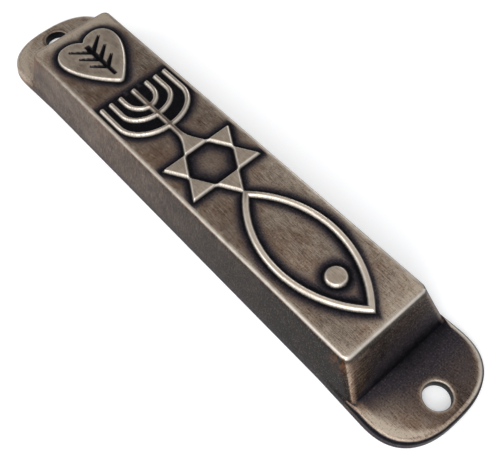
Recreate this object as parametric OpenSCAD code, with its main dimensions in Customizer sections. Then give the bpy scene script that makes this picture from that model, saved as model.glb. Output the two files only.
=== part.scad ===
// Mezuzah case: a hollow metal casting with a drafted rectangular body, two screw ears
// and raised decoration, closed from behind by a plastic plate over a rolled scroll.
// The case lies on its back: X is its width, Y its length with the upper end at +Y,
// and Z rises out of the front. The origin is the centre of the back face.

/* [Case] */
// Length over both ears
case_len = 120; // [118:1:130]
// Width of the flat front face
front_w = 18.7; // [18:0.1:19.5]
// Height of the front face above the back face, without the relief
case_h = 10.1; // [10:0.1:12]
// Angle of the long sides from the vertical, in degrees
side_draft = 12; // [10:0.5:14]
// Angle of the lower end face from the vertical, in degrees
lower_slope = 25.5; // [24:0.5:28]
// Angle of the upper end face from the vertical, in degrees
upper_slope = 16; // [14:0.5:20]
// Thickness of the cast wall
wall = 1.4; // [1.2:0.1:1.6]
// Bevel around the front face
front_bevel = 0.5; // [0.2:0.1:0.8]

/* [Ears] */
// Thickness of the screw ears
ear_t = 2; // [1.8:0.1:2.4]
// Length of the lower ear beyond the foot of the body
lower_reach = 11.6; // [11.2:0.1:12]
// Length of the upper ear beyond the foot of the body
upper_reach = 10.6; // [10.2:0.1:11.4]
// How much farther than the foot of the body an ear stands out on each side
ear_flare = 0.35; // [0.1:0.05:0.5]
// Length of the rounded end of an ear
ear_round = 9.6; // [8:0.1:10]
// Squareness of the rounded end, where 2 is an ellipse
ear_power = 2.5; // [2:0.1:3]
// Diameter of a screw hole
hole_d = 4.8; // [4:0.1:5.2]
// Distance from the tip of an ear to the centre of its hole
hole_inset = 4.65; // [4.2:0.05:5]

/* [Relief] */
// Height of the raised decoration above the front face
relief_h = 0.5; // [0.3:0.1:0.8]
// Width of the raised lines
line_w = 0.95; // [0.8:0.05:1.1]
// Centre of the star, measured from the middle of the case
star_y = -0.35; // [-1.5:0.05:0]
// Radius of the star over its points
star_r = 8.95; // [8:0.05:9]
// Length of the fish outline over its nose and the crossing at its tail
fish_len = 32.2; // [30:0.1:33]
// Half of the fish outline's width at the middle of its line
fish_half_w = 6.3; // [5.5:0.1:7]
// Height of the candlestick's arm tops, measured from the middle of the case
arm_top_y = 23.85; // [23:0.05:24]

/* [Back cover] */
// Thickness of the cover plate
cover_t = 1.2; // [1:0.1:1.4]
// Gap around the cover plate
cover_gap = 0.15; // [0.1:0.05:0.2]
// Height of the gripping tongues above the plate
tongue_h = 2.6; // [2:0.1:3]

/* [Scroll] */
// Length of the rolled scroll, which is the width of the parchment
scroll_len = 70; // [60:1:72]
// Outer diameter of the rolled scroll
scroll_d = 6.4; // [5.8:0.1:6.4]
// Thickness of the parchment
parchment_t = 0.25; // [0.2:0.05:0.3]
// Outer diameter of the clear sleeve
sleeve_d = 7; // [6.8:0.1:7]

/* [Hidden] */
$fn = 48;
eps = 0.01;
through = 1;                        // how far a cut runs past the face it opens

// Outside of the body at a height z: half width, and the two ends along Y
function half_w(z) = front_w / 2 + (case_h - z) * tan(side_draft);
function lower_y(z) = lower_reach - case_len / 2 + z * tan(lower_slope);
function upper_y(z) = case_len / 2 - upper_reach - z * tan(upper_slope);

// The same faces moved in by a wall, as left and right or lower and upper limits
wall_x = wall / cos(side_draft);
function span_x(z, t) = (half_w(z) - t / cos(side_draft)) * [-1, 1];
function span_y(z, t) = [lower_y(z) + t / cos(lower_slope), upper_y(z) - t / cos(upper_slope)];
roof_z = case_h - wall;

// Rebate that the back cover drops into
ledge_gap = 0.1;
rebate_edge = 1.1;
rebate_half_w = half_w(0) - 1;
rebate_half_l = (upper_y(0) - lower_y(0)) / 2 - rebate_edge;
rebate_y = (upper_y(0) + lower_y(0)) / 2;
rebate_r = 1.5;

hole_y = case_len / 2 - hole_inset;
ear_y0 = case_len / 2 - ear_round;  // where the rounded end of an ear begins
flare_y = 40;                       // where an ear begins to stand out from the body's foot

// Decoration, from the fish at the lower end to the leaf at the upper end
hexagon_r = star_r / sqrt(3);
neck_r = 0.42;                      // blend disc where two points of the star meet
stem_flare_h = 1.6;
fish_top_y = star_y - star_r + 0.42;
fish_mid_y = fish_top_y - fish_len / 2;
fish_sweep = (pow(fish_len / 2 - line_w, 2) + pow(fish_half_w, 2)) / (2 * fish_half_w);
fish_arc_x = fish_sweep - fish_half_w;
fish_line_w = line_w * 1.1;
eye_y = -32.2;
eye_r = 1.9;
// Half width, straight length and depth of each pair of arms
ARMS = [[3.1, 2, 3.6], [5.35, 4, 4.2], [7.55, 6, 6]];
arm_steps = 28;

leaf_tip_y = 27.4;
leaf_top_y = 42.8;
leaf_half_w = 6.65;
leaf_steps = 10;
vein_w = 0.75;
vein_count = 3;
vein_angle = 42;

// Cover tongues
tongue_y = 28;
tongue_len = 9;
tongue_t = 0.9;
pry_r = 2.6;

// Scroll and sleeve
sleeve_wall = 0.15;
sleeve_over = 1;                    // sleeve length beyond the scroll at each end
scroll_gap = 0.05;
scroll_z = cover_t + scroll_gap + sleeve_d / 2;
scroll_y = 1;                       // middle of the hollow at the scroll's height
scroll_core_r = 1.1;
scroll_pitch = 0.42;
scroll_steps = 24;

// Points of a band of width w along the open path p
function heading(p, i) = let (a = p[max(i - 1, 0)], b = p[min(i + 1, len(p) - 1)])
    (b - a) / norm(b - a);
function side_of(p, i, w) = let (h = heading(p, i)) p[i] + w / 2 * [-h[1], h[0]];
function band(p, w) = concat(
    [for (i = [0 : len(p) - 1]) side_of(p, i, w)],
    [for (i = [len(p) - 1 : -1 : 0]) side_of(p, i, -w)]);

// Points of a cubic curve, without its last point
function curve(a, b, c, d, n) = [for (i = [0 : n - 1]) let (t = i / n, s = 1 - t)
    s * s * s * a + 3 * s * s * t * b + 3 * s * t * t * c + t * t * t * d];

function mirrored(p) = [for (i = [len(p) - 1 : -1 : 0]) [-p[i][0], p[i][1]]];

// A block with the body's four sloping sides, moved in by t
module drafted_block(z0, z1, t = 0, bevel = 0) {
    intersection() {
        rotate([90, 0, 0])
            linear_extrude(case_len, center = true)
                polygon(slope_profile(span_x(z0, t), span_x(z1, t), z0, z1, bevel));
        rotate([90, 0, 90])
            linear_extrude(case_len, center = true)
                polygon(slope_profile(span_y(z0, t), span_y(z1, t), z0, z1, bevel));
    }
}

// Upright section of such a block: its limits at the foot and at the top, the upper corners bevelled
function slope_profile(foot, top, z0, z1, bevel = 0) = let (
    a = top[0] - (top[0] - foot[0]) / (z1 - z0) * bevel,
    b = top[1] + (foot[1] - top[1]) / (z1 - z0) * bevel)
    bevel > 0
    ? [[foot[0], z0], [foot[1], z0], [b, z1 - bevel], [b - bevel, z1], [a + bevel, z1], [a, z1 - bevel]]
    : [[foot[0], z0], [foot[1], z0], [top[1], z1], [top[0], z1]];

// Outline of one ear, drawn towards +Y: sides that open out a little and a rounded tip
function ear_outline() = let (w = half_w(0) + ear_flare) concat(
    [[-half_w(0), flare_y], [half_w(0), flare_y]],
    [for (a = [0 : 7.5 : 180]) [
        w * sign(cos(a)) * pow(abs(cos(a)), 2 / ear_power),
        ear_y0 + ear_round * pow(sin(a), 2 / ear_power)]]);

// Everything on the inner side of an ear's flank, which leans in and opens out towards the tip
module inside_of_flank() {
    opening = atan(ear_flare / (ear_y0 - flare_y));
    lean = ear_t * tan(side_draft);
    translate([half_w(0), flare_y]) rotate(-opening) rotate([90, 0, 0])
        linear_extrude(case_len, center = true)
            polygon(slope_profile([-case_len / 4, 0], [-case_len / 4, -lean], 0, ear_t, front_bevel / 2));
}

module ears() {
    for (turn = [0, 180]) rotate(turn) intersection() {
        linear_extrude(ear_t) polygon(ear_outline());
        inside_of_flank();
        mirror([1, 0, 0]) inside_of_flank();
    }
}

module rounded_rect(half_x, half_y, r) {
    square([2 * half_x - 2 * r, 2 * half_y], center = true);
    square([2 * half_x, 2 * half_y - 2 * r], center = true);
    for (x = [-1, 1], y = [-1, 1]) translate([x * (half_x - r), y * (half_y - r)]) circle(r);
}

// Outline of the rebate, moved in by a gap
module rebate_outline(gap = 0) {
    translate([0, rebate_y]) rounded_rect(rebate_half_w - gap, rebate_half_l - gap, rebate_r - gap);
}

// Branched candlestick: a stem and three nested pairs of curved arms
function arm_path(arm) = let (x = arm[0], y = arm_top_y - arm[1]) concat(
    [[-x, arm_top_y]],
    [for (i = [0 : arm_steps]) let (a = 180 + 180 * i / arm_steps)
        [x * cos(a), y + arm[2] * sin(a)]],
    [[x, arm_top_y]]);

module candlestick() {
    for (arm = ARMS) polygon(band(arm_path(arm), line_w));
    stem_foot = star_y + star_r - stem_flare_h;
    translate([-line_w / 2, stem_foot]) square([line_w, arm_top_y - stem_foot]);
}

// Six solid points around an open hexagon
module star() {
    translate([0, star_y])
        for (k = [0 : 5]) rotate(60 * k) {
            polygon([[0, star_r], [-hexagon_r / 2, star_r / 2], [hexagon_r / 2, star_r / 2]]);
            translate([hexagon_r / 2, star_r / 2]) circle(neck_r, $fn = 24);
        }
}

// Pointed outline between two equal circles
module lens(grow) {
    intersection_for(side = [-1, 1])
        translate([side * fish_arc_x, fish_mid_y]) circle(fish_sweep + grow, $fn = 96);
}

module fish() {
    difference() {
        lens(fish_line_w / 2);
        lens(-fish_line_w / 2);
    }
    translate([0, eye_y]) circle(eye_r);
}

// Heart-shaped leaf with its tip towards the candlestick
function leaf_side() = let (w = leaf_half_w, top = leaf_top_y) concat(
    curve([0, top - 1.5], [0.7, top - 0.6], [1.8, top], [3.3, top], leaf_steps),
    curve([3.3, top], [5.4, top], [w, top - 1.6], [w, top - 3.9], leaf_steps),
    curve([w, top - 3.9], [w, top - 7.4], [3.6, top - 12], [0.6, leaf_tip_y + 0.2], leaf_steps),
    [[0.6, leaf_tip_y + 0.2], [0.25, leaf_tip_y]]);

module leaf() {
    difference() {
        polygon(concat(leaf_side(), mirrored(leaf_side())));
        vein_y0 = leaf_tip_y + 2.2;
        vein_y1 = leaf_top_y - 3.2;
        polygon([[-vein_w / 4, vein_y0], [vein_w / 4, vein_y0],
                 [vein_w / 2, vein_y1], [-vein_w / 2, vein_y1]]);
        for (side = [-1, 1], i = [0 : vein_count - 1])
            translate([0, vein_y0 + 2.6 + 2.6 * i])
                rotate(-side * (90 - vein_angle))
                    polygon([[-vein_w / 2, 0], [vein_w / 2, 0], [0, 3.4 + 0.7 * i]]);
    }
}

module relief() {
    translate([0, 0, case_h - wall / 2])
        linear_extrude(wall / 2 + relief_h) {
            candlestick();
            star();
            fish();
            leaf();
        }
}

module case_shell() {
    color("#8f8377") difference() {
        union() {
            drafted_block(0, case_h, bevel = front_bevel);
            ears();
            relief();
        }
        drafted_block(-through, roof_z, wall);
        translate([0, 0, -through])
            linear_extrude(through + cover_t + ledge_gap) rebate_outline();
        for (side = [-1, 1]) translate([0, side * hole_y, -through])
            cylinder(h = ear_t + 2 * through, d = hole_d);
    }
}

module tongue() {
    outer0 = half_w(cover_t) - wall_x - cover_gap;
    outer1 = half_w(cover_t + tongue_h) - wall_x - cover_gap;
    rotate([90, 0, 0])
        linear_extrude(tongue_len, center = true)
            polygon([[outer0 - tongue_t, cover_t - eps], [outer0, cover_t - eps],
                     [outer1, cover_t + tongue_h], [outer1 - tongue_t / 2, cover_t + tongue_h]]);
}

module back_cover() {
    plate_end = rebate_y - rebate_half_l + cover_gap;
    color("#26262a") {
        difference() {
            linear_extrude(cover_t) rebate_outline(cover_gap);
            translate([0, plate_end, -through]) cylinder(h = cover_t + 2 * through, r = pry_r);
        }
        for (turn = [0, 180], y = [-tongue_y, tongue_y]) rotate(turn) translate([0, y, 0]) tongue();
    }
}

// Lays a piece drawn upright around Z along the case, centred on the scroll's axis
module along_case(length) {
    translate([0, scroll_y + length / 2, scroll_z])
        rotate([90, 0, 0]) linear_extrude(length) children();
}

module scroll_sleeve() {
    color("#dfe8ec", 0.4) along_case(scroll_len + 2 * sleeve_over) difference() {
        circle(d = sleeve_d);
        circle(d = sleeve_d - 2 * sleeve_wall);
    }
}

// Rolled parchment: one sheet wound outwards from the core
function spiral_path() = let (
    r1 = (scroll_d - parchment_t) / 2,
    turns = (r1 - scroll_core_r) / scroll_pitch,
    n = round(turns * scroll_steps))
    [for (i = [0 : n]) let (a = 360 * turns * i / n, r = scroll_core_r + (r1 - scroll_core_r) * i / n)
        r * [cos(a), sin(a)]];

module scroll() {
    color("#e3d2aa") along_case(scroll_len) polygon(band(spiral_path(), parchment_t));
}

case_shell();
back_cover();
scroll_sleeve();
scroll();
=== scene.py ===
"""Looks of the mezuzah case: an antiqued metal casting, its back cover and the sleeved scroll.

Sizes are in millimetres up to mesh_object(), which turns them into the frame's metres.
"""
import math

import bmesh
import bpy
import numpy as np
from mathutils import Matrix, Vector
from mathutils.geometry import delaunay_2d_cdt


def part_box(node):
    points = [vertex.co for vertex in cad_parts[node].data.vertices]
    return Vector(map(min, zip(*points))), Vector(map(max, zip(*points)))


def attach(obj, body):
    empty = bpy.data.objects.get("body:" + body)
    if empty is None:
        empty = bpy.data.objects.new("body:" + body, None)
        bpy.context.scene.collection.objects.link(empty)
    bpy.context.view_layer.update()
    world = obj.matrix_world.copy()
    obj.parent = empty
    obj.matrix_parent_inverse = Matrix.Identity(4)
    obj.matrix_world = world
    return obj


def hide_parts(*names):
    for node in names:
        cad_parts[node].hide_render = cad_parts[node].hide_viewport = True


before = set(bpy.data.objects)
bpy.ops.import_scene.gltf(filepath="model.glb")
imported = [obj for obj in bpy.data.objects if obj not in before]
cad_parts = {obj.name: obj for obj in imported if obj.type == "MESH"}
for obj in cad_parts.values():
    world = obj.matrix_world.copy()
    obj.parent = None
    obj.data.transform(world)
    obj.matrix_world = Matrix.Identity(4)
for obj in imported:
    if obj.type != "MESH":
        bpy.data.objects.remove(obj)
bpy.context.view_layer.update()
MM = 0.001

# ---------------------------------------------------------------- sizes, in mm


def box_mm(node):
    low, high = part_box(node)
    return np.array(low) / MM, np.array(high) / MM


# Body
CASE_HIGH = box_mm("case_shell")[1]
HALF_LEN = CASE_HIGH[1]
RELIEF_H = 0.5
FRONT_Z = CASE_HIGH[2] - RELIEF_H
FRONT_HALF_W = 9.35
SIDE_DRAFT = math.radians(12)
LOWER_SLOPE, UPPER_SLOPE = math.radians(25.5), math.radians(16)
LOWER_EAR, UPPER_EAR = 11.6, 10.6
LOWER_FOOT, UPPER_FOOT = LOWER_EAR - HALF_LEN, HALF_LEN - UPPER_EAR
FOOT_HALF_W = FRONT_HALF_W + FRONT_Z * math.tan(SIDE_DRAFT)
WALL = 1.4
ROOF_Z = FRONT_Z - WALL
LEDGE_Z = 1.3
REBATE_SIDE, REBATE_END, REBATE_R, REBATE_LIP = 1.0, 1.1, 1.5, 0.1

# Ears and their holes
EAR_T = 2.0
EAR_ROUND = 9.6
EAR_POWER = 2.5
EAR_TIP_DRAFT = 0.06
EAR_FLARE = 0.35
FLARE_Y = 40.0
EAR_Y0 = HALF_LEN - EAR_ROUND
HOLE_R = 2.4
HOLE_Y = HALF_LEN - 4.65
HOLE_LIP, HOLE_LOW_LIP = 0.28, 0.1

# Rounded edges
FRONT_EDGE_R = 0.7
CORNER_R_TOP, CORNER_R_EDGE, CORNER_R_FOOT = 1.0, 1.4, 1.5
RIM_R = 0.7
TOP_INSET = RIM_R + 0.22
BOTTOM_R = 0.15

# Decoration
LINE_W = 0.95
ARM_SLIMMER = 0.03  # taken off each side of the arms and the stem
ARM_TOP_Y = 23.85
ARM_OVER = 1  # how far the arms are drawn past the line that cuts them off
ARMS = ((3.1, 2.0, 3.6), (5.35, 4.0, 4.2), (7.55, 6.0, 6.0))  # half span, straight part, depth
STAR_Y, STAR_R = -0.35, 8.95
HEXAGON_R = STAR_R / math.sqrt(3)
STEM_FOOT_Y = STAR_Y + STAR_R - 1.6
FISH_TOP_Y = STAR_Y - STAR_R + 0.42
FISH_LEN, FISH_HALF_W = 32.2, 6.3
FISH_LINE_W = LINE_W * 1.1
EYE_Y, EYE_R = -32.2, 1.9
LEAF_TIP_Y, LEAF_TOP_Y, LEAF_HALF_W = 27.4, 42.8, 6.65
VEIN_W, VEIN_TIP_W, VEIN_COUNT, VEIN_ANGLE = 0.75, 0.18, 3, math.radians(42)
VEIN_REACH, VEIN_GROWTH, VEIN_STEP = 3.4, 0.7, 2.6
ARM_FILLET, POINT_FILLET, STAR_FILLET, FISH_FILLET = 0.3, 0.65, 0.9, 0.25

# Cross-section of the relief, measured across its outline
WALL_FOOT, WALL_TOP = 0.03, -0.17
CROWN_H, CROWN_W = 0.05, 0.25
MOAT_DEPTH, MOAT_W = 0.06, 0.8

# Meshing
FLAT_MARGIN = 0.3
CELL = 0.18
CORNER_CELLS = 6
SLOPE_STEP = 0.02
SIDE_ROWS = (0.1, 0.25, 0.42, 0.58, 0.74, 0.86, 0.94, 1.0)
SKIRT_ROWS = ((1.0, 0), (0.5, 0), (BOTTOM_R, 0), (0.045, 0.045), (0, BOTTOM_R))  # z, inset
EAR_POINTS = 110
EAR_CELL = 0.55
HOLE_POINTS = 56


def half_w(z):
    return FOOT_HALF_W - z * math.tan(SIDE_DRAFT)


def lower_y(z):
    return LOWER_FOOT + z * math.tan(LOWER_SLOPE)


def upper_y(z):
    return UPPER_FOOT - z * math.tan(UPPER_SLOPE)


def flare(y):
    """How far the ears' flanks stand out beyond the body's foot at y."""
    return EAR_FLARE * np.clip((np.abs(y) - FLARE_Y) / (EAR_Y0 - FLARE_Y), 0, 1)


# ---------------------------------------------------------------- curves from 0 to 1


def smooth(x):
    """0 up to x = 0, 1 from x = 1, and a smooth step between."""
    x = np.clip(x, 0.0, 1.0)
    return x * x * (3 - 2 * x)


def bell(x, width):
    """1 at x = 0, falling away on both sides over about width."""
    return np.exp(-((x / width) ** 2))


def fade(x, length):
    """1 at x = 0, falling away beyond it over about length."""
    return np.exp(-x / length)


# ---------------------------------------------------------------- signed distances in the plane


def distance_to(p, y):
    """Distance of each point to the point at height y on the middle line."""
    return np.linalg.norm(p - [0, y], axis=1)


def segment_distance(p, a, b):
    ab = b - a
    t = np.clip(((p - a) @ ab) / (ab @ ab), 0, 1)
    return np.linalg.norm(p - a - t[:, None] * ab, axis=1)


def line_distance(p, points):
    return np.min([segment_distance(p, a, b) for a, b in zip(points[:-1], points[1:])], axis=0)


def polygon_distance(p, points):
    """Signed distance to a closed polygon, negative inside."""
    points = np.asarray(points, float)
    nearest = line_distance(p, np.vstack([points, points[:1]]))
    return np.where(inside_polygon(p, points), -nearest, nearest)


def inside_polygon(p, points):
    inside = np.zeros(len(p), bool)
    for a, b in zip(points, np.roll(points, -1, axis=0)):
        crosses = (a[1] > p[:, 1]) != (b[1] > p[:, 1])
        rise = b[1] - a[1] if b[1] != a[1] else 1.0
        inside ^= crosses & (p[:, 0] < (b[0] - a[0]) * (p[:, 1] - a[1]) / rise + a[0])
    return inside


def smooth_union(a, b, fillet):
    """The nearer of two distances, with the corner between the two shapes filled."""
    h = np.clip(0.5 + 0.5 * (b - a) / fillet, 0, 1)
    return b + (a - b) * h - fillet * h * (1 - h)


def turned(points, angle):
    c, s = math.cos(angle), math.sin(angle)
    return np.asarray(points, float) @ np.array([[c, s], [-s, c]])


def bezier(a, b, c, d, n):
    t = np.linspace(0, 1, n, endpoint=False)[:, None]
    s = 1 - t
    a, b, c, d = (np.array(q, float) for q in (a, b, c, d))
    return s**3 * a + 3 * s * s * t * b + 3 * s * t * t * c + t**3 * d


# ---------------------------------------------------------------- the raised decoration


def arm_line(half_span, straight, depth):
    """One pair of arms: down, round and up again."""
    a = np.linspace(math.pi, 2 * math.pi, 29)
    arc = np.c_[half_span * np.cos(a), ARM_TOP_Y - straight + depth * np.sin(a)]
    top = ARM_TOP_Y + ARM_OVER
    return np.vstack([[-half_span, top], arc, [half_span, top]])


def candlestick(p):
    """Branched candlestick: three nested pairs of arms and the stem."""
    arms = np.min([line_distance(p, arm_line(*arm)) for arm in ARMS], axis=0)
    stem = segment_distance(p, np.array([0, STEM_FOOT_Y]), np.array([0, ARM_TOP_Y + ARM_OVER]))
    d = smooth_union(arms, stem, ARM_FILLET) - LINE_W / 2 + ARM_SLIMMER
    return np.maximum(d, p[:, 1] - ARM_TOP_Y)


def between_arms(p):
    """1 in the deep gaps between the candlestick's arms, 0 outside them."""
    half_span = ARMS[-1][0]
    top = [[half_span, ARM_TOP_Y], [-half_span, ARM_TOP_Y]]
    outer = np.vstack([arm_line(*ARMS[-1])[1:-1], top])
    return smooth(0.5 - polygon_distance(p, outer) / 1.2)


def star(p):
    """Six-pointed star, as the union of its points."""
    q = p - [0, STAR_Y]
    point = [[0, STAR_R], [-HEXAGON_R / 2, STAR_R / 2], [HEXAGON_R / 2, STAR_R / 2]]
    parts = [polygon_distance(q, turned(point, k * math.pi / 3)) for k in range(6)]
    d = parts[0]
    for part in parts[1:]:
        d = smooth_union(d, part, POINT_FILLET)
    return d


def fish_body(p):
    """Signed distance to the middle of the fish's outline: two arcs that meet at nose and tail."""
    half = FISH_LEN / 2 - LINE_W
    sweep = (half**2 + FISH_HALF_W**2) / (2 * FISH_HALF_W)
    centre = np.array([sweep - FISH_HALF_W, FISH_TOP_Y - FISH_LEN / 2])
    far = [np.linalg.norm(p - centre * [sign, 1], axis=1) for sign in (1, -1)]
    return np.maximum(*far) - sweep


def fish(p):
    outline = np.abs(fish_body(p)) - FISH_LINE_W / 2
    return np.minimum(outline, distance_to(p, EYE_Y) - EYE_R)


def leaf_outline():
    """Heart-shaped leaf, point down: its right half and the mirror image."""
    w, top, n = LEAF_HALF_W, LEAF_TOP_Y, 14
    right = np.vstack([
        bezier((0, top - 1.5), (0.7, top - 0.6), (1.8, top), (3.3, top), n),
        bezier((3.3, top), (5.4, top), (w, top - 1.6), (w, top - 3.9), n),
        bezier((w, top - 3.9), (w, top - 7.4), (3.6, top - 12), (0.6, LEAF_TIP_Y + 0.2), n),
        [[0.6, LEAF_TIP_Y + 0.2], [0.25, LEAF_TIP_Y]],
    ])
    return np.vstack([right, (right * [-1, 1])[:0:-1]])


def veins(p):
    """Signed distance to the leaf's veins: the middle one widens upwards, the others taper."""
    y0, y1 = LEAF_TIP_Y + 2.2, LEAF_TOP_Y - 3.2
    w, tip = VEIN_W / 2, VEIN_TIP_W / 2
    parts = [polygon_distance(p, [[-w / 2, y0], [w / 2, y0], [w, y1], [-w, y1]])]
    for side in (-1, 1):
        for i in range(VEIN_COUNT):
            reach = VEIN_REACH + VEIN_GROWTH * i
            vein = [[-w, 0], [w, 0], [tip, reach], [-tip, reach]]
            vein = turned(vein, -side * (math.pi / 2 - VEIN_ANGLE))
            parts.append(polygon_distance(p, vein + [0, y0 + VEIN_STEP + VEIN_STEP * i]))
    return np.min(parts, axis=0)


def relief_distance(p):
    """Signed distance to the decoration's outline, negative on the raised metal."""
    d = smooth_union(candlestick(p), star(p), STAR_FILLET)
    d = smooth_union(d, fish(p), FISH_FILLET)
    return np.minimum(d, np.maximum(polygon_distance(p, leaf_outline()), -veins(p)))


# ---------------------------------------------------------------- building meshes


class Builder:
    """Collects points with their finish values, painted light and shade among them, and faces, of
    one closed mesh.
    """

    # grime: patina in the hollows plus painted shade in creases, holes and on the ends; wear:
    # rubbed metal plus painted highlights; tone also carries painted light and shade
    FIELDS = ("grime", "wear", "raised", "tone")

    def __init__(self):
        self.points, self.values = [], []
        self.quads, self.tris, self.sharp = [], [], []
        self.count = 0

    def add(self, points, **values):
        """Adds points with their finish values, and returns their numbers."""
        points = np.asarray(points, float).reshape(-1, 3)
        self.points.append(points)
        n = len(points)
        columns = (np.asarray(values.get(field, 0.0), float) for field in self.FIELDS)
        self.values.append(np.stack([np.broadcast_to(c, (n,)) for c in columns], axis=1))
        self.count += n
        return np.arange(self.count - n, self.count)

    def strip(self, a, b, closed=True):
        """Quads between two rows of as many points."""
        quads = np.stack([a, np.roll(a, -1), np.roll(b, -1), b], axis=1)
        self.quads.append(quads if closed else quads[:-1])

    def stack(self, rows):
        """Closed strips from each row to the next."""
        for a, b in zip(rows[:-1], rows[1:]):
            self.strip(a, b)

    def grid(self, ids):
        corners = (ids[:-1, :-1], ids[1:, :-1], ids[1:, 1:], ids[:-1, 1:])
        self.quads.append(np.stack([c.ravel() for c in corners], axis=1))

    def at(self, ids):
        return np.concatenate(self.points)[ids]

    def fill(self, outer, holes, inner=()):
        """Triangles of a flat region: outer and holes are loops of numbers, inner loose points."""
        loops = [outer, *holes]
        ids = np.concatenate([*loops, *inner])
        xy = self.at(ids)[:, :2]
        edges, start = [], 0
        for loop in loops:
            n = len(loop)
            edges += [(start + i, start + (i + 1) % n) for i in range(n)]
            start += n
        points = [Vector(q) for q in xy]
        inside_only, join_within = 1, 1e-7
        result = delaunay_2d_cdt(points, edges, [], inside_only, join_within)
        _, _, faces, origin, _, _ = result
        tris = np.array([[origin[v][0] for v in f] for f in faces])
        middle = xy[tris].mean(axis=1)
        keep = np.ones(len(tris), bool)
        for hole in holes:
            keep &= ~inside_polygon(middle, self.at(hole)[:, :2])
        self.tris.append(ids[tris[keep]])

    def crease(self, loop, closed=True):
        """Keeps the edges along a loop sharp."""
        pairs = np.stack([loop, np.roll(loop, -1)], axis=1)
        self.sharp.append(pairs if closed else pairs[:-1])

    def piece(self, name, **more):
        """The finished mesh as an object, with the finish values and any more as attributes."""
        points, values = np.concatenate(self.points), np.concatenate(self.values)
        faces = [f for part in (*self.quads, *self.tris) for f in np.asarray(part).tolist()]
        fields = {f: values[:, i] for i, f in enumerate(self.FIELDS)} if values.any() else {}
        fields.update({key: work(points) for key, work in more.items()})
        return mesh_object(name, points, faces, np.concatenate(self.sharp), fields)


def mesh_object(name, points, faces, sharp, fields):
    """A smooth-shaded object from points in mm, with its normals turned outwards."""
    mesh = bpy.data.meshes.new(name)
    mesh.from_pydata((points * MM).tolist(), [], faces)
    outwards(mesh)
    for field, column in fields.items():
        attribute = mesh.attributes.new(field, "FLOAT", "POINT")
        attribute.data.foreach_set("value", column.astype(np.float32))
    mesh.polygons.foreach_set("use_smooth", np.ones(len(mesh.polygons), bool))
    mark_sharp(mesh, sharp, len(points))
    piece = bpy.data.objects.new(name, mesh)
    bpy.context.scene.collection.objects.link(piece)
    return piece


def outwards(mesh):
    bm = bmesh.new()
    bm.from_mesh(mesh)
    bmesh.ops.recalc_face_normals(bm, faces=bm.faces)
    bm.to_mesh(mesh)
    bm.free()


def mark_sharp(mesh, pairs, n):
    """Marks the edges that join the given pairs of the mesh's n points."""
    ends = np.empty(len(mesh.edges) * 2, np.int64)
    mesh.edges.foreach_get("vertices", ends)
    ends = np.sort(ends.reshape(-1, 2), axis=1)
    wanted = np.sort(pairs, axis=1)
    found = np.isin(ends[:, 0] * n + ends[:, 1], wanted[:, 0] * n + wanted[:, 1])
    name = "sharp_edge"
    attribute = mesh.attributes.get(name) or mesh.attributes.new(name, "BOOLEAN", "EDGE")
    attribute.data.foreach_set("value", found)


def plane_grid(x, y):
    """Points of a grid over x and y, column by column."""
    return np.stack([g.ravel() for g in np.meshgrid(x, y, indexing="ij")], axis=1)


def border_of(ids):
    """Border point numbers, anticlockwise, of a grid whose ids are indexed [column, row]."""
    return np.concatenate([ids[:-1, 0], ids[-1, :-1], ids[:0:-1, -1], ids[0, :0:-1]])


class Perimeter:
    """The border of a rectangular grid, anticlockwise, and loops that follow it outwards."""

    def __init__(self, half_x, ends, cell, corner_cells):
        low, high = ends
        half_y = (high - low) / 2
        fewest = 2 * corner_cells + 2
        self.nx, self.ny = (max(fewest, round(2 * half / cell)) for half in (half_x, half_y))
        self.x = np.linspace(-half_x, half_x, self.nx + 1)
        self.y = np.linspace(low, high, self.ny + 1)
        across, along = self.x[:-1], self.y[:-1] - (low + high) / 2
        t = np.concatenate([across, along, -across, -along])
        self.side = np.repeat([0, 1, 2, 3], [self.nx, self.ny, self.nx, self.ny])
        self.end_side = self.side % 2 == 0
        half = np.where(self.end_side, half_x, half_y)
        step = np.where(self.end_side, self.x[1] - self.x[0], self.y[1] - self.y[0])
        zone = corner_cells * step
        flat = half - zone
        self.along = np.clip(t / flat, -1, 1)
        self.turn = np.clip((np.abs(t) - flat) / zone, 0, 1) * math.pi / 4
        self.turn[self.turn < 1e-6] = 0.0
        self.sign = np.where(np.isin(self.side, (1, 2)), 1.0, -1.0)

    def loop(self, x, ends, r, z_side, z_ends):
        """A rounded rectangle with its own height on each side, a point for each border point."""
        y, middle = (ends[1] - ends[0]) / 2, (ends[1] + ends[0]) / 2
        long_half = np.where(self.end_side, x, y)
        wide_half = np.where(self.end_side, y, x)
        along = self.along * (long_half - r) + np.sign(self.along) * r * np.sin(self.turn)
        across = self.sign * (wide_half - r + r * np.cos(self.turn))
        px = np.where(self.end_side, along, across)
        py = np.where(self.end_side, across, along)
        z_end = np.where(py > 0, z_ends[1], z_ends[0])
        own = np.where(self.end_side, z_end, z_side)
        other = np.where(self.end_side, z_side, z_end)
        z = own + (other - own) * self.turn / (math.pi / 2)
        return np.stack([px, py + middle, z], axis=1)


# ---------------------------------------------------------------- the front


def flat_part(r):
    """Half width and ends of the front's flat part, inside an edge of radius r."""
    def inset(slope):
        return r * math.tan((math.pi / 2 - slope) / 2)

    ends = lower_y(FRONT_Z) + inset(LOWER_SLOPE), upper_y(FRONT_Z) - inset(UPPER_SLOPE)
    return half_w(FRONT_Z) - inset(SIDE_DRAFT), ends


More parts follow.
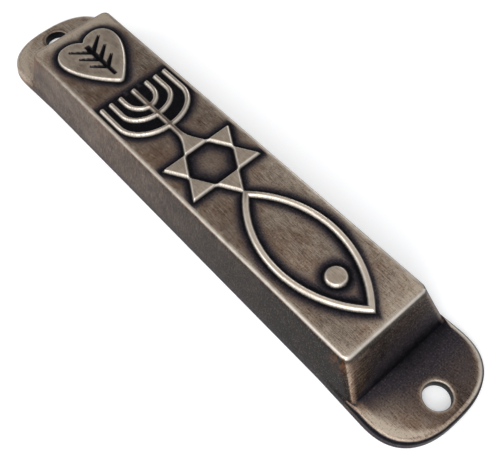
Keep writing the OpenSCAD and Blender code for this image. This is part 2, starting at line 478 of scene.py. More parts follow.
def front_patch(build):
    """The front face as a fine grid, raised where the decoration is."""
    flat_x, (low, high) = flat_part(FRONT_EDGE_R)
    ends = low + FLAT_MARGIN, high - FLAT_MARGIN
    border = Perimeter(flat_x - FLAT_MARGIN, ends, CELL, CORNER_CELLS)
    p = onto_walls(plane_grid(border.x, border.y), border)
    d = relief_distance(p)
    rise = np.clip((WALL_FOOT - d) / (WALL_FOOT - WALL_TOP), 0, 1)
    crown = CROWN_H * (1 - fade(np.maximum(WALL_TOP - d, 0), CROWN_W))
    moat = MOAT_DEPTH * bell(np.maximum(d - WALL_FOOT, 0), MOAT_W) * (rise <= 0)
    z = FRONT_Z + rise * (RELIEF_H - CROWN_H) + crown - moat
    ids = build.add(np.c_[p, z], **front_finish_and_highlight(p, d, rise))
    ids = ids.reshape(border.nx + 1, border.ny + 1)
    build.grid(ids)
    return border, border_of(ids)


def onto_walls(p, border):
    """Moves the grid points beside the relief's walls onto the foot and top of the walls."""
    d = relief_distance(p)
    steps = np.array([[SLOPE_STEP, 0], [0, SLOPE_STEP]])
    slope = np.stack([relief_distance(p + s) - relief_distance(p - s) for s in steps], axis=1)
    slope /= 2 * SLOPE_STEP
    slope /= np.maximum(np.linalg.norm(slope, axis=1), 1e-6)[:, None]
    half = CELL / 2
    inner = np.abs(p[:, 0]) < border.x[-1] - half
    inner &= (p[:, 1] > border.y[0] + half) & (p[:, 1] < border.y[-1] - half)
    for level in (WALL_FOOT, WALL_TOP):
        near = inner & (np.abs(d - level) < half)
        p[near] += (level - d[near])[:, None] * slope[near]
    return p


def front_finish_and_highlight(p, d, rise):
    """Finish of the front: sooty beside the relief, rubbed pale along the relief's edges, where a
    painted highlight lies as well.
    """
    x, y = p.T
    in_fish = fish_body(p)
    away = np.maximum(d, 0)
    nose = smooth((-24 - y) / 10)
    wide_halo = 0.5 - 0.3 * nose * (in_fish > 0) * smooth((x + 1) / 3) + 0.12 * bell(y - 26, 2.5)
    grime = 0.65 * np.exp(-((away / 0.8) ** 1.5)) + wide_halo * bell(away, 2.1)
    in_hexagon = smooth(1.5 - distance_to(p, STAR_Y) / HEXAGON_R)
    grime += 0.14 * nose * smooth(-in_fish / 1.2) + 0.2 * in_hexagon
    grime = np.maximum(np.minimum(grime, 1), 0.97 * between_arms(p)) * (1 - rise)
    in_vein = smooth(1 - (veins(p) - 0.15) / 0.3)
    grime = np.maximum(grime, 0.8 * in_vein)

    # edge: rubbed metal and a painted highlight along the top of the relief's walls
    edge = bell(d - WALL_TOP - 0.03, 0.13)
    stem = bell(x, 0.7) * smooth((23.4 - y) / 1.5) * smooth((y - 7.5) / 2)
    on_fish = smooth((-10.5 - y) / 2) * smooth(distance_to(p, EYE_Y) - EYE_R)
    on_leaf = smooth(y - 26) * smooth(-(d + 0.5))
    top_tone = 0.5 - 0.6 * stem + 0.4 * on_fish - 0.15 * on_leaf
    return dict(
        grime=grime,
        raised=smooth(rise) * (1 - in_vein),
        wear=edge * (1 - 0.75 * stem) * (1 - in_vein),
        tone=np.where(rise > 0.5, top_tone, face_tone(p)),
    )


def face_tone(p):
    """Brightness of the front's ground: lighter to the borders and in parts of the middle."""
    x, y = p.T
    to_side = half_w(FRONT_Z) - np.abs(x)
    to_low = y - lower_y(FRONT_Z)
    to_high = upper_y(FRONT_Z) - y
    rightwards = smooth((x + 6) / 12)
    edges = 0.45 * fade(to_side, 1.1) + 1.1 * fade(to_high, 1.7)
    low = (0.15 + 0.2 * rightwards) * fade(to_low, 5) + 0.3 * fade(to_low, 1.2)
    low += 0.1 * rightwards * smooth((5 - y) / 30)
    high = (0.1 + 0.25 * smooth(x / 4)) * smooth((y - 36) / 7)
    middle = 0.1 * bell(x, 5) + 0.12 * rightwards * bell(y + 9, 8)
    left_in_fish = 0.16 * bell(x + 3, 2) * bell(y + 26, 5)
    return 0.36 + edges + low + high + middle + left_in_fish


# ---------------------------------------------------------------- the sides


def body_loops(build, border, inner):
    """Rounded front edge and the four sloping sides, down to the level of the ears."""
    flat_x, (low, high) = flat_part(FRONT_EDGE_R)
    turns = [math.pi / 2 - slope for slope in (SIDE_DRAFT, LOWER_SLOPE, UPPER_SLOPE)]

    def edge(s):
        """The rounded edge a share s of the way round: how far out, and at what heights."""
        out = [FRONT_EDGE_R * math.sin(s * turn) for turn in turns]
        return out, [FRONT_Z - FRONT_EDGE_R * (1 - math.cos(s * turn)) for turn in turns]

    rows = [inner]
    for s in np.linspace(0, 1, 7):
        out, z = edge(s)
        r = CORNER_R_TOP + (CORNER_R_EDGE - CORNER_R_TOP) * s
        loop = border.loop(flat_x + out[0], (low - out[1], high + out[2]), r, z[0], z[1:])
        rows.append(build.add(loop, **front_edge_wear_and_highlight(border, loop, s)))
    _, edge_z = edge(1)
    for q in SIDE_ROWS:
        side, lower, upper = (z + (EAR_T - z) * q for z in edge_z)
        r = CORNER_R_EDGE + (CORNER_R_FOOT - CORNER_R_EDGE) * min(1, q * 3)
        loop = border.loop(half_w(side), (lower_y(lower), upper_y(upper)), r, side, (lower, upper))
        rows.append(build.add(loop, **end_and_side_shade(border, loop)))
    build.stack(rows)
    return rows[-1]


def side_shade(p):
    """Painted shade on the long sides: darker towards the lower end and the foot."""
    return -0.46 + 0.6 * smooth((p[:, 1] + 52) / 75) + 0.04 * smooth(p[:, 2] / FRONT_Z)


def front_edge_wear_and_highlight(border, loop, s):
    """Front edge a share s of the way round: rubbed, with a painted highlight, least at the upper
    end and weaker on the right; its tone goes over into the sides' painted shade.
    """
    middle = np.where(border.end_side, 0.4, 0.25)
    width = np.where(border.end_side, 0.38, 0.22)
    edge_wear_and_highlight = bell(s - middle, width) * (1 - 0.7 * smooth((loop[:, 1] - 25) / 20))
    on_right = border.side == 1
    tone = 0.75 + (side_shade(loop) - 0.75) * s
    return dict(wear=edge_wear_and_highlight * np.where(on_right, 0.6, 1), tone=tone)


def end_and_side_shade(border, loop):
    """The sloping sides: painted shade at the foot of the two ends, in the crease with the ears,
    less so on the left and half as much at the upper end; the ends are painted lighter than the
    long sides, the more so to the left, and the rounded corners lighter.
    """
    above = (loop[:, 2] - EAR_T) / (FRONT_Z - EAR_T)
    leftwards = smooth((-3.5 - loop[:, 0]) / 6)
    corner = border.turn / (math.pi / 4)
    end_crease_shade = 0.12 + 0.9 * fade(above, 0.38 - 0.28 * leftwards) - 0.12 * leftwards
    grime = np.where(border.end_side, end_crease_shade, 0) * (1 - smooth(corner * 1.2))
    end_tone = np.where(border.end_side, 0.37 + 0.28 * leftwards, 0)
    return dict(
        grime=grime * np.where(loop[:, 1] > 0, 0.5, 1),
        tone=side_shade(loop) + end_tone + 0.4 * smooth(corner),
    )


# ---------------------------------------------------------------- the ears


class Ear:
    """Outline of one ear: shares of its half width and its rounded tip, and a y between them."""

    def __init__(self, sign):
        self.sign = sign
        self.upper = sign > 0
        self.foot = upper_y(EAR_T) if self.upper else -lower_y(EAR_T)
        start = self.foot - CORNER_R_FOOT
        a = np.linspace(0, math.pi, 400)
        cos, sin = np.cos(a), np.sin(a)
        wide = np.sign(cos) * np.abs(cos) ** (2 / EAR_POWER)
        tip = np.c_[wide, np.full(len(a), EAR_Y0), np.abs(sin) ** (2 / EAR_POWER)]
        line = np.vstack([[1, start, 0], tip, [-1, start, 0]])
        place = np.c_[line[:, 0] * half_w(EAR_T), line[:, 1] + line[:, 2] * EAR_ROUND]
        length = np.r_[0, np.cumsum(np.linalg.norm(np.diff(place, axis=0), axis=1))]
        at = np.linspace(0, length[-1], EAR_POINTS + 2)[1:-1]
        wide, self.base, self.tip = (np.interp(at, length, column) for column in line.T)
        self.to_right = wide * sign
        self.beyond = self.base + self.tip * EAR_ROUND - start
        self.lift = smooth((self.beyond - 0.35) / 2.8)  # 0 at the body's corner, 1 along the flank

    def loop(self, inset, z, opened):
        """The outline moved in by inset at height z, with a share of its flanks' flare opened."""
        opened = 1 - (1 - smooth(self.beyond / 2.5)) * (1 - opened)
        x = self.to_right * (half_w(z) + flare(self.base) * opened - inset)
        y = self.base + self.tip * (EAR_ROUND - inset - EAR_TIP_DRAFT * z)
        return np.stack([x, y * self.sign, np.broadcast_to(z, y.shape)], axis=1)


def ear_light_and_shade(p):
    """An ear's top face: painted shade along the foot of the body and to the right, painted light
    towards the rim, on the left and on the upper ear.
    """
    x, y = p[:, 0], p[:, 1]
    upper = y > 0
    from_foot = np.maximum(np.where(upper, y - upper_y(EAR_T), lower_y(EAR_T) - y), 0)
    beyond = np.maximum(np.abs(y) - EAR_Y0, 0)
    outline = np.hypot(np.abs(x) / half_w(EAR_T), beyond / EAR_ROUND)
    leftwards = smooth((1 - x) / 11)
    rim = smooth((outline - 0.92 + 0.09 * leftwards) / 0.1)
    rim *= smooth(from_foot / (3 - 2.4 * leftwards))
    outer_left = leftwards * smooth((outline - 0.62) / 0.38) * smooth(from_foot / 4)
    tone = 0.22 + 0.35 * leftwards * smooth(from_foot / 5) + 0.35 * rim
    dark = 0.62 * fade(from_foot, 4.5) + 0.26 * (1 - leftwards)
    crease_shade = fade(from_foot, 0.8) * (1 - 0.3 * leftwards)
    return dict(
        grime=np.where(upper, 0.2, 1) * np.maximum(dark * (1 - 0.8 * rim), crease_shade),
        tone=tone + np.where(upper, 0.4, 0.28 * outer_left),
    )


def rim_shape(ear, s):
    """Inset and height of an ear's rounded rim, a share s of the way round from its top."""
    angle = s * math.pi / 2
    fall, drop = s * RIM_R, RIM_R * (1 - math.cos(angle))
    z = EAR_T - fall * (1 - ear.lift) - drop * ear.lift
    return RIM_R * (1 - math.sin(angle)) * ear.lift, z


def rim_highlight_and_shade(ear, s):
    """The rim: a painted highlight as a thin bright line near its top, above all on the right
    flank, and painted shade further round, most on the lower ear.
    """
    shine = bell(s - 0.2, 0.16) * (smooth(ear.to_right * 1.6) + 0.3 * ear.upper)
    return dict(
        wear=shine * ear.lift,
        tone=0.35 + 0.4 * ear.lift,
        grime=smooth((s - 0.2) / 0.5) * (0.15 if ear.upper else 1),
    )


def flank_light_and_shade(ear):
    """Below the rim: painted shade on the lower ear and on the right, painted light on the upper
    ear, paler on the upper left.
    """
    dark = (0.05 if ear.upper else 0.5) + 0.5 * smooth(ear.to_right * 1.6 + 0.6)
    return dict(tone=0.45 * ear.upper * ear.lift, grime=(0.35 + 0.65 * ear.lift) * dark)


def ears_and_skirt(build, border, foot):
    """The ears with their holes, the rim round the whole casting, and the loop at the bottom."""
    straight = (~border.end_side) & (border.turn == 0)
    right = foot[straight & (border.side == 1)]
    left = foot[straight & (border.side == 3)]
    ears = Ear(1), Ear(-1)
    tops = []
    for ear in ears:
        loop = ear.loop(TOP_INSET * ear.lift, EAR_T, 0.0)
        tops.append(build.add(loop, **ear_light_and_shade(loop)))

    rows = []

    def add_row(sides, opened, shape, finish):
        """One loop round the casting: right side, upper ear, left side, lower ear."""
        tips = [build.add(ear.loop(*shape(ear), opened), **finish(ear)) for ear in ears]
        rows.append([sides[0], tips[0], sides[1], tips[1]])

    for s in np.linspace(0, 1, 6):
        sides = side_row(build, right, left, EAR_T - s * RIM_R, 0, s) if s else (right, left)
        add_row(sides, s, lambda ear: rim_shape(ear, s), lambda ear: rim_highlight_and_shade(ear, s))
    for z, inset in SKIRT_ROWS:
        sides = side_row(build, right, left, z, inset, 1.0)
        add_row(sides, 1.0, lambda ear: (inset, z), flank_light_and_shade)

    _, upper_rim, _, lower_rim = rows[0]
    for top, rim, a, b in ((tops[0], upper_rim, right, left), (tops[1], lower_rim, left, right)):
        build.strip(top, rim, closed=False)
        build.tris.append([(a[-1], top[0], rim[0]), (b[0], rim[-1], top[-1])])
    loops = [np.concatenate(parts) for parts in rows]
    build.stack(loops)
    ends = (right[-1], left[0]), (left[-1], right[0])
    holes = [ear_top(build, foot, *parts) for parts in zip(ears, tops, ends)]
    return loops[-1], holes


def side_row(build, right, left, z, inset, opened):
    """The next row down both long sides, under the given points, with painted shade darker towards
    the floor.
    """
    ids = []
    for side, sign in ((right, 1), (left, -1)):
        p = build.at(side)
        p[:, 0] = sign * (half_w(z) + flare(p[:, 1]) * opened - inset)
        p[:, 2] = z
        ids.append(build.add(p, tone=side_shade(p), grime=0.2 + 0.3 * (1 - z / EAR_T)))
    return ids


def ear_top(build, foot, ear, top, ends):
    """An ear's top face, from the body's foot to its rim, and the numbers of its hole's bottom."""
    start, stop = (np.flatnonzero(foot == end)[0] for end in ends)
    body_part = np.roll(foot, -start)[: (stop - start) % len(foot) + 1]
    build.crease(body_part, closed=False)
    top_hole, low_hole = hole_loops(build, ear)
    outline = np.concatenate([body_part, top[::-1]])
    build.fill(outline, [top_hole], [ear_grid(build, outline, ear)])
    return low_hole


def hole_loops(build, ear):
    """An ear's rounded screw hole: the numbers of its top loop and bottom loop. Its lip has a
    painted highlight, brighter on the lower ear, and its wall painted shade.
    """
    a = np.linspace(0, 2 * math.pi, HOLE_POINTS, endpoint=False)
    shine = 0.1 if ear.upper else 0.4
    rows = [(HOLE_R + HOLE_LIP + 0.2, EAR_T, 0, 0.15)]  # radius, height, wear and painted highlight, grime and painted shade
    for s in np.linspace(0, 1, 5):
        r = HOLE_R + HOLE_LIP * (1 - math.sin(s * math.pi / 2))
        z = EAR_T - HOLE_LIP * (1 - math.cos(s * math.pi / 2))
        rows.append((r, z, shine * bell(s - 0.2, 0.3), s**3))
    rows += [(HOLE_R, 1.2, 0, 1), (HOLE_R, HOLE_LOW_LIP, 0, 1)]
    rows.append((HOLE_R + HOLE_LOW_LIP, 0.0, 0.1, 0.3))
    ids = []
    for r, z, wear, grime in rows:
        loop = np.c_[r * np.cos(a), ear.sign * HOLE_Y + r * np.sin(a), np.full(len(a), z)]
        ids.append(build.add(loop, wear=wear, grime=grime, tone=0.4))
    build.stack(ids)
    return ids[0], ids[-1]


def ear_grid(build, outline, ear):
    """Loose points inside an ear's top face, which carry its changes of finish."""
    x = np.arange(-11, 11.01, EAR_CELL)
    y = np.arange(ear.foot + 0.3, HALF_LEN, EAR_CELL)
    p = np.stack([g.ravel() for g in np.meshgrid(x, ear.sign * y)], axis=1)
    edge = build.at(outline)[:, :2]
    clear = np.min(np.linalg.norm(p[:, None] - edge[None], axis=2), axis=1) > 0.3
    off_hole = distance_to(p, ear.sign * HOLE_Y) > HOLE_R + 0.7
    p = p[inside_polygon(p, edge) & clear & off_hole]
    return build.add(np.c_[p, np.full(len(p), EAR_T)], **ear_light_and_shade(p))


# ---------------------------------------------------------------- the back and the whole case


def inside_of_case(build, bottom, holes):
    """Back face, the cover's rebate and the hollow for the scroll."""
    dull = dict(tone=0.25, grime=0.4)

    def hollow(z, inset=0.0):
        low = lower_y(z) + WALL / math.cos(LOWER_SLOPE) + inset
        high = upper_y(z) - WALL / math.cos(UPPER_SLOPE) - inset
        return half_w(z) - WALL / math.cos(SIDE_DRAFT) - inset, (low, high)

    def rebate(grow=0.0):
        ends = lower_y(0) + REBATE_END - grow, upper_y(0) - REBATE_END + grow
        return half_w(0) - REBATE_SIDE + grow, ends

    border = Perimeter(*hollow(ROOF_Z, 0.8), cell=1.3, corner_cells=3)
    specs = [  # half width and ends, corner radius, height
        (rebate(REBATE_LIP), REBATE_R + REBATE_LIP, 0.0),
        (rebate(), REBATE_R, REBATE_LIP),
        (rebate(), REBATE_R, LEDGE_Z),
        *((hollow(z), 1.0, z) for z in (LEDGE_Z, 3.0, 5.0, 7.0, ROOF_Z - 0.6)),
        (hollow(ROOF_Z - 0.2, 0.12), 0.9, ROOF_Z - 0.2),
        (hollow(ROOF_Z, 0.5), 0.7, ROOF_Z),
    ]
    rows = [build.add(border.loop(*size, r, z, (z, z)), **dull) for size, r, z in specs]
    build.stack(rows)
    for row in (rows[2], rows[3]):
        build.crease(row)
    p = plane_grid(border.x, border.y)
    roof = build.add(np.c_[p, np.full(len(p), ROOF_Z)], **dull)
    roof = roof.reshape(border.nx + 1, border.ny + 1)
    build.grid(roof)
    build.strip(rows[-1], border_of(roof))
    build.fill(bottom, [rows[0], *holes])


def stain_field(points):
    """Rust-brown tarnish at the two left corners of the front."""
    z = 8.6
    spots = (-half_w(z), lower_y(z) + 1.6, z), (-half_w(z), upper_y(z) - 0.9, z)
    return sum(bell(np.linalg.norm(points - spot, axis=1), 1.5) for spot in spots)


def case_shell():
    build = Builder()
    border, inner = front_patch(build)
    foot = body_loops(build, border, inner)
    bottom, holes = ears_and_skirt(build, border, foot)
    inside_of_case(build, bottom, holes)
    return build.piece("case_body", stain=stain_field)


# ---------------------------------------------------------------- the scroll and its sleeve

SCROLL_LEN, SCROLL_R, SHEET_T, CORE_R, PITCH = 70.0, 3.2, 0.25, 1.1, 0.42
SLEEVE_LEN, SLEEVE_R, FILM_T = 72.0, 3.5, 0.12


def waves(*terms):
    """Sum of sines, each given as (height, phase)."""
    return sum(height * np.sin(phase) for height, phase in terms)


def along_axis(radius, angle, y):
    """Points round the middle line of the sleeve, y along it from its middle."""
    low, high = box_mm("scroll_sleeve")
    _, mid_y, mid_z = (low + high) / 2
    return np.stack([radius * np.cos(angle), y + mid_y, radius * np.sin(angle) + mid_z], axis=-1)


def parchment_roll():
    """One sheet wound outwards, with uneven windings and cut edges that aren't quite straight."""
    last_r = SCROLL_R - SHEET_T / 2
    turns = (last_r - CORE_R) / PITCH
    along = np.linspace(0, 1, round(turns * 30) + 1)
    s, v = np.meshgrid(along, np.linspace(-1, 1, 71), indexing="ij")
    loose = waves((0.05, 3 * v), (0.03, 7 * v + 1)) * smooth((s - 0.94) / 0.06)
    angle = -2 * math.pi * turns * s + loose
    slack = 0.035 * (1 + waves((0.5, 5 * v + 9 * s), (0.5, 3 * angle - 4 * v)))
    middle = CORE_R + (last_r - CORE_R) * s - slack
    shift = waves((0.16, 21 * s + 1), (0.09, 47 * s), (0.05, 90 * s + 2)) - 0.3
    y = v * (SCROLL_LEN / 2 + shift)
    build = Builder()
    rims = []
    for side in (SHEET_T / 2, -SHEET_T / 2):
        ids = build.add(along_axis(middle + side, angle, y)).reshape(s.shape)
        build.grid(ids)
        rims.append(border_of(ids))
        build.crease(rims[-1])
    build.strip(*rims)
    return build.piece("parchment_roll")


def film_sleeve():
    """Clear tube with faint creases and a lapped seam along one side."""
    around = np.linspace(0, 2 * math.pi, 96, endpoint=False)
    a, v = np.meshgrid(around, np.linspace(-1, 1, 60), indexing="ij")
    ripple = 0.05 * (1 + waves((0.5, 4 * a + 3 * v), (0.3, 9 * v - 2 * a), (0.2, 17 * v + 5 * a)))
    seam = 0.1 * smooth(1.5 - np.abs(a - 2.6) / 0.12)
    r = SLEEVE_R - 0.01 - ripple + seam
    y = v * SLEEVE_LEN / 2 - 0.15 * np.abs(v) ** 9 * (1 + np.sin(3 * a))
    build = Builder()
    outer, inner = (build.add(along_axis(r - t, a, y)).reshape(a.shape) for t in (0, FILM_T))
    for ids in (outer, inner):
        build.stack(ids.T)
    for end in (0, -1):
        build.strip(outer[:, end], inner[:, end])
        build.crease(outer[:, end])
        build.crease(inner[:, end])
    return build.piece("film_sleeve")


# ---------------------------------------------------------------- materials


class Nodes:
    """Short calls that add and join shader nodes of one material."""

    def __init__(self, name):
        self.material = bpy.data.materials.new(name)
        self.material.use_nodes = True
        self.tree = self.material.node_tree
        self.shader = self.tree.nodes["Principled BSDF"]
        self.place = self.add("ShaderNodeTexCoord").outputs["Object"]

    def add(self, kind, **settings):
        node = self.tree.nodes.new(kind)
        for key, value in settings.items():
            setattr(node, key, value)
        return node

    def join(self, value, socket):
        """Links a socket's value, or sets the input to a plain one."""
        if isinstance(value, bpy.types.NodeSocket):
            self.tree.links.new(value, socket)
        else:
            socket.default_value = value

    def give(self, name, value):
        """Gives one of the shader's inputs its value."""
        self.join(value, self.shader.inputs[name])

    def math(self, operation, a, b=0.0, clamp=False):
        node = self.add("ShaderNodeMath", operation=operation, use_clamp=clamp)
        self.join(a, node.inputs[0])
        self.join(b, node.inputs[1])
        return node.outputs[0]

    def times(self, a, b, clamp=False):
        return self.math("MULTIPLY", a, b, clamp)

    def add_up(self, start, *terms):
        """start plus each noise, centred on 0.5, times its weight."""
        for value, weight in terms:
            centred = self.math("SUBTRACT", value, 0.5)
            start = self.math("ADD", start, self.times(centred, weight))
        return start

    def between(self, kind, share, a, b):
        node = self.add("ShaderNodeMix", data_type=kind)
        for name, value in (("Factor", share), ("A", a), ("B", b)):
            self.join(value, node.inputs[name])
        return node.outputs["Result"]

    def mix(self, share, a, b):
        """The colour a share of the way from a to b."""
        return self.between("RGBA", share, a, b)

    def number(self, share, a, b):
        """The number a share of the way from a to b."""
        return self.between("FLOAT", share, a, b)

    def field(self, name):
        return self.add("ShaderNodeAttribute", attribute_name=name).outputs["Fac"]

    def noise(self, size_mm, detail, stretch=(1, 1, 1), rough=0.5, shift=0.0):
        """Noise with features of about size_mm, drawn out along each axis by stretch."""
        mapping = self.add("ShaderNodeMapping")
        self.join(self.place, mapping.inputs["Vector"])
        mapping.inputs["Scale"].default_value = [1 / (size_mm * MM * s) for s in stretch]
        mapping.inputs["Location"].default_value = (shift, shift * 0.7, shift * 1.3)
        node = self.add("ShaderNodeTexNoise")
        self.join(mapping.outputs[0], node.inputs["Vector"])
        for name, value in (("Scale", 1.0), ("Detail", detail), ("Roughness", rough)):
            node.inputs[name].default_value = value
        return node.outputs["Fac"]

    def ramp(self, value, low, high, kind="SMOOTHSTEP"):
        """value brought from low..high to 0..1, by a smooth step or in a straight line."""
        node = self.add("ShaderNodeMapRange", interpolation_type=kind)
        for name, given in (("Value", value), ("From Min", low), ("From Max", high)):
            self.join(given, node.inputs[name])
        return node.outputs["Result"]

    def bump(self, height, depth_mm, normal=None):
        node = self.add("ShaderNodeBump")
        node.inputs["Strength"].default_value = 1.0
        node.inputs["Distance"].default_value = depth_mm * MM
        self.join(height, node.inputs["Height"])
        if normal is not None:
            self.join(normal, node.inputs["Normal"])
        return node.outputs["Normal"]

    def axis_share(self, axis):
        """How far the surface faces along one axis of the object, from 0 to 1."""
        normal = self.add("ShaderNodeTexCoord").outputs["Normal"]
        split = self.add("ShaderNodeSeparateXYZ")
        self.join(normal, split.inputs[0])
        return self.math("ABSOLUTE", split.outputs[axis])


def rgb(r, g, b):
    """Linear colour of an sRGB colour given in 0 to 255."""
    def linear(c):
        c /= 255
        return c / 12.92 if c <= 0.04045 else ((c + 0.055) / 1.055) ** 2.4

    return (linear(r), linear(g), linear(b), 1.0)


def antique_metal():
    """Brushed casting metal: brown ground, blue-black in the hollows, pale where it is rubbed; it
    also carries painted shade in creases, holes and on the ends and sides, and painted highlights
    on edges and rims.
    """
    n = Nodes("antique_metal")
    grime, wear, raised, tone = (n.field(f) for f in Builder.FIELDS)
    blotch = n.noise(6, 4, shift=3)
    fine_blotch = n.noise(1.5, 4, rough=0.65, shift=8)
    grain = n.noise(0.3, 3, rough=0.6, shift=1)
    lengthwise = n.noise(0.15, 3, stretch=(1, 14, 1), rough=0.7, shift=5)
    upright = n.noise(0.15, 3, stretch=(14, 1, 14), rough=0.7, shift=2)
    upwards = n.ramp(n.axis_share("Z"), 0.45, 0.8)
    brushed = n.number(upwards, upright, lengthwise)
    scratch = n.ramp(n.noise(0.13, 2, stretch=(1, 55, 1), rough=0.6, shift=11), 0.58, 0.7)

    # The ground, from near black through brown to bright metal as its level rises; the level
    # follows the tone field, painted light and shade included
    patchy = n.number(upwards, 0.3, 0.6)
    level = n.add_up(tone, (blotch, 0.5), (fine_blotch, patchy), (brushed, 1.2), (grain, 0.3))
    level = n.math("SUBTRACT", level, n.times(scratch, 0.25))
    brown = n.mix(n.ramp(blotch, 0.3, 0.7), rgb(134, 110, 93), rgb(122, 107, 95))
    colour = n.mix(n.ramp(level, -0.4, 0.0, "LINEAR"), rgb(24, 20, 19), rgb(60, 50, 44))
    colour = n.mix(n.ramp(level, 0.0, 0.45, "LINEAR"), colour, brown)
    colour = n.mix(n.ramp(level, 0.45, 1.0, "LINEAR"), colour, rgb(203, 187, 168))

    # Soot in the hollows and painted shade in creases, holes and on the ends, with light and dark
    # specks over everything so far
    soot_and_shade = n.add_up(grime, (fine_blotch, 0.35), (brushed, 0.35), (blotch, 0.2))
    colour = n.mix(n.ramp(soot_and_shade, 0.12, 0.6), colour, rgb(58, 53, 59))
    colour = n.mix(n.ramp(soot_and_shade, 0.45, 1.0), colour, rgb(11, 11, 17))
    light_weight = n.number(n.ramp(soot_and_shade, 0.4, 0.9), 0.24, 0.05)
    light_specks = n.times(n.ramp(grain, 0.52, 0.7), light_weight)
    colour = n.mix(light_specks, colour, rgb(140, 128, 116))
    dark_specks = n.times(n.ramp(grain, 0.48, 0.32), 0.45)
    colour = n.mix(dark_specks, colour, rgb(22, 19, 20))

    # The relief's tops, the rubbed edges with their painted highlights, and the tarnish
    polish = n.add_up(tone, (brushed, 0.9), (fine_blotch, 0.6), (blotch, 0.5))
    top = n.mix(n.ramp(polish, 0.1, 0.9, "LINEAR"), rgb(118, 102, 89), rgb(206, 191, 173))
    colour = n.mix(raised, colour, top)
    rubbed_and_highlight = n.times(wear, n.math("ADD", 0.5, n.times(fine_blotch, 0.9)), clamp=True)
    colour = n.mix(rubbed_and_highlight, colour, rgb(230, 221, 209))
    stain = n.times(n.field("stain"), n.ramp(fine_blotch, 0.4, 0.62))
    n.give("Base Color", n.mix(n.times(stain, 0.75), colour, rgb(118, 72, 34)))

    sooty_and_shaded = n.ramp(soot_and_shade, 0.2, 0.8)
    n.give("Metallic", n.number(sooty_and_shaded, 0.95, 0.93))
    rough = n.number(rubbed_and_highlight, n.math("ADD", 0.38, n.times(brushed, 0.2)), 0.3)
    n.give("Roughness", n.number(sooty_and_shaded, rough, 0.6))
    normal = n.bump(brushed, 0.02)
    normal = n.bump(grain, 0.012, normal)
    n.give("Normal", n.bump(fine_blotch, 0.04, normal))
    return n.material


def cover_plastic():
    """Fine-grained dark plastic of the pressed-in back cover."""
    n = Nodes("cover_plastic")
    grain = n.noise(0.25, 2)
    cloud = n.noise(6, 3, shift=4)
    n.give("Base Color", n.mix(cloud, rgb(30, 30, 33), rgb(46, 46, 50)))
    n.give("Roughness", n.number(grain, 0.42, 0.6))
    n.give("Normal", n.bump(grain, 0.02))
    return n.material


def parchment():
    """Scraped skin: warm cream with darker fibres and pores."""
    n = Nodes("parchment")
    fibre = n.noise(0.5, 4, stretch=(1, 5, 1), rough=0.65)
    cloud = n.noise(5, 4, shift=6)
    pores = n.ramp(n.noise(0.3, 1, shift=9), 0.62, 0.72)
    colour = n.mix(cloud, rgb(206, 184, 140), rgb(232, 216, 180))
    colour = n.mix(n.times(fibre, 0.35), colour, rgb(178, 148, 102))
    n.give("Base Color", n.mix(n.times(pores, 0.35), colour, rgb(150, 118, 78)))
    n.give("Roughness", n.number(fibre, 0.55, 0.75))
    n.give("Sheen Weight", 0.15)
    n.give("Normal", n.bump(fibre, 0.03))
    return n.material


def clear_film():
    """Thin clear film with faint ripples."""
    n = Nodes("clear_film")
    ripple = n.noise(2.5, 2, stretch=(1, 4, 1))
    n.give("Base Color", rgb(235, 240, 242))
    n.give("Roughness", n.number(ripple, 0.06, 0.16))
    n.give("Alpha", 0.28)
    n.give("Specular IOR Level", 0.8)
    n.give("Normal", n.bump(ripple, 0.12))
    return n.material


def paint(piece, material):
    piece.data.materials.clear()
    piece.data.materials.append(material)


# ---------------------------------------------------------------- stage, light and camera


def floor():
    """A pale matt floor just under the case, with a little light of its own."""
    bpy.ops.mesh.primitive_plane_add(size=6, location=(0, 0, -0.00002))
    plane = bpy.context.object
    plane.name = "floor"
    material = bpy.data.materials.new("floor")
    material.use_nodes = True
    inputs = material.node_tree.nodes["Principled BSDF"].inputs
    inputs["Base Color"].default_value = (0.9, 0.9, 0.9, 1)
    inputs["Roughness"].default_value = 0.9
    inputs["Emission Color"].default_value = (1, 1, 1, 1)
    inputs["Emission Strength"].default_value = 0.22
    plane.data.materials.append(material)


def softbox(name, place, size, power):
    """A large area lamp at place, turned to the origin."""
    lamp = bpy.data.lights.new(name, "AREA")
    lamp.shape = "RECTANGLE"
    lamp.size, lamp.size_y = size
    lamp.energy = power
    holder = bpy.data.objects.new(name, lamp)
    holder.location = place
    holder.rotation_euler = (-Vector(place)).to_track_quat("-Z", "Y").to_euler()
    bpy.context.scene.collection.objects.link(holder)


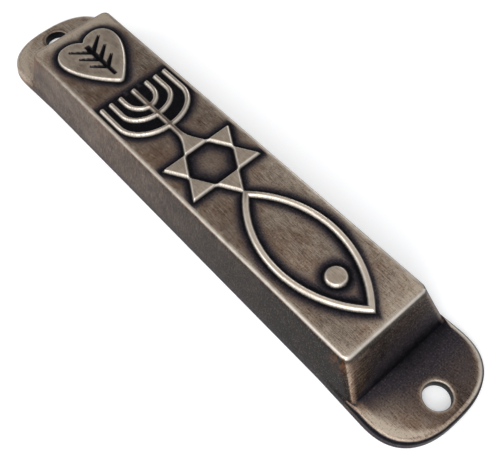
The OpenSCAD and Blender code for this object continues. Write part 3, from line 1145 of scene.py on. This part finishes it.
def world_light():
    """A pale room, brighter in front, to the left and near the horizon."""
    world = bpy.data.worlds.new("studio")
    world.use_nodes = True
    tree = world.node_tree

    def ranged(value, kind, *limits):
        node = tree.nodes.new("ShaderNodeMapRange")
        node.interpolation_type = kind
        for name, limit in zip(("From Min", "From Max", "To Min", "To Max"), limits):
            node.inputs[name].default_value = limit
        tree.links.new(value, node.inputs["Value"])
        return node.outputs["Result"]

    direction = tree.nodes.new("ShaderNodeTexCoord").outputs["Generated"]
    towards = tree.nodes.new("ShaderNodeVectorMath")
    towards.operation = "DOT_PRODUCT"
    towards.inputs[1].default_value = (-0.7, -0.7, 0.15)
    tree.links.new(direction, towards.inputs[0])
    split = tree.nodes.new("ShaderNodeSeparateXYZ")
    tree.links.new(direction, split.inputs[0])
    front_left = ranged(towards.outputs["Value"], "LINEAR", -1, 1, 0.25, 1.0)
    near_horizon = ranged(split.outputs["Z"], "SMOOTHSTEP", 0.4, 0.0, 0.0, 0.42)
    total = tree.nodes.new("ShaderNodeMath")
    tree.links.new(front_left, total.inputs[0])
    tree.links.new(near_horizon, total.inputs[1])
    background = tree.nodes["Background"]
    tree.links.new(total.outputs[0], background.inputs["Strength"])
    background.inputs["Color"].default_value = (0.97, 0.98, 1.0, 1)
    bpy.context.scene.world = world


def camera():
    """The main view: from above the lower left end, rolled a little."""
    data = bpy.data.cameras.new("camera")
    data.lens = 52.62
    data.sensor_width = 36
    data.clip_start, data.clip_end = 0.005, 20
    eye = bpy.data.objects.new("camera", data)
    place = Vector((-43.07, -68.74, 115.61)) * MM
    ahead = Vector((0.31404, 0.42799, -0.84747)).normalized()
    right = Vector((0.75152, -0.65753, -0.05358))
    right = (right - ahead * right.dot(ahead)).normalized()
    turn = Matrix((right, right.cross(ahead), -ahead)).transposed().to_4x4()
    eye.matrix_world = Matrix.Translation(place) @ turn
    bpy.context.scene.collection.objects.link(eye)
    bpy.context.scene.camera = eye


camera()
world_light()
floor()
softbox("top", (-0.25, -0.1, 0.75), (0.5, 0.5), 1.6)
softbox("key", (-0.45, -0.42, 0.38), (0.35, 0.35), 1.6)
softbox("left", (-0.62, 0.30, 0.26), (0.3, 0.4), 1.0)
softbox("right", (0.62, 0.26, 0.22), (0.2, 0.5), 0.5)
bpy.context.scene.view_settings.view_transform = "Standard"

# Each made piece with its finish, the body it rides on and the CAD node it replaces
PIECES = (
    (case_shell, antique_metal, "case", "case_shell"),
    (parchment_roll, parchment, "scroll_pack", "scroll"),
    (film_sleeve, clear_film, "scroll_pack", "scroll_sleeve"),
)
for make, finish, body, node in PIECES:
    piece = make()
    paint(piece, finish())
    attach(piece, body)
    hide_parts(node)

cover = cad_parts["back_cover"]
paint(cover, cover_plastic())
edges = cover.modifiers.new("rounded edges", "BEVEL")
edges.width, edges.segments, edges.limit_method = 0.18 * MM, 3, "ANGLE"
